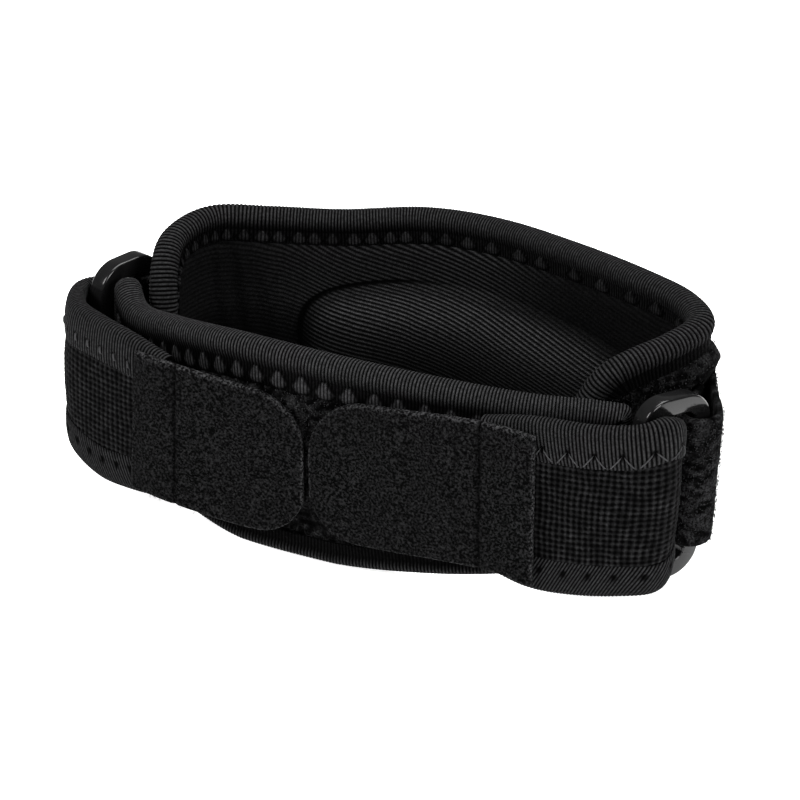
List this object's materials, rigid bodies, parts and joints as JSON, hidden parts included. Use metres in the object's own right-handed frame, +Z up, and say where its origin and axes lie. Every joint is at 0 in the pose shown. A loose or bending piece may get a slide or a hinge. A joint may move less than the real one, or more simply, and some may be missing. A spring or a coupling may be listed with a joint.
{
  "type": "elbow brace",
  "caption": "Forearm strap brace of padded panels with a pressure pad, closed by elastic straps through plastic rings and hook tabs.",
  "frame": {"origin": "middle of the brace's bounding box, at the surface that its lower edges stand on", "axes": "+X along the long side of the loop, +Y from the hook tabs to the padded back panel, +Z up along the forearm hollow"},
  "size_m": [0.1686, 0.0774, 0.0636],
  "materials": {
    "pile_fabric": "black brushed loop pile, dull",
    "rib_binding": "black ribbed knit tape, soft sheen",
    "ribbed_lining": "black smooth lining with fine ribs",
    "pad_foam": "dark moulded foam, hidden under the lining",
    "knit_elastic": "black coarse knit elastic",
    "hook_felt": "charcoal short napped felt",
    "ring_plastic": "black moulded plastic, semi-gloss"
  },
  "bodies": {
    "root": {"back_panel": "pile_fabric", "front_panel": "pile_fabric", "keeper_left": "pile_fabric", "keeper_right": "pile_fabric", "back_binding": "rib_binding", "front_binding_top": "rib_binding", "front_binding_bottom": "rib_binding", "strap_left_binding_top": "rib_binding", "strap_left_binding_bottom": "rib_binding", "strap_right_binding_top": "rib_binding", "strap_right_binding_bottom": "rib_binding", "inner_lining": "ribbed_lining", "pressure_pad": "pad_foam", "strap_left": "knit_elastic", "strap_right": "knit_elastic", "hook_tab_left": "hook_felt", "hook_tab_right": "hook_felt", "ring_left": "ring_plastic", "ring_right": "ring_plastic"}
  },
  "joints": []
}
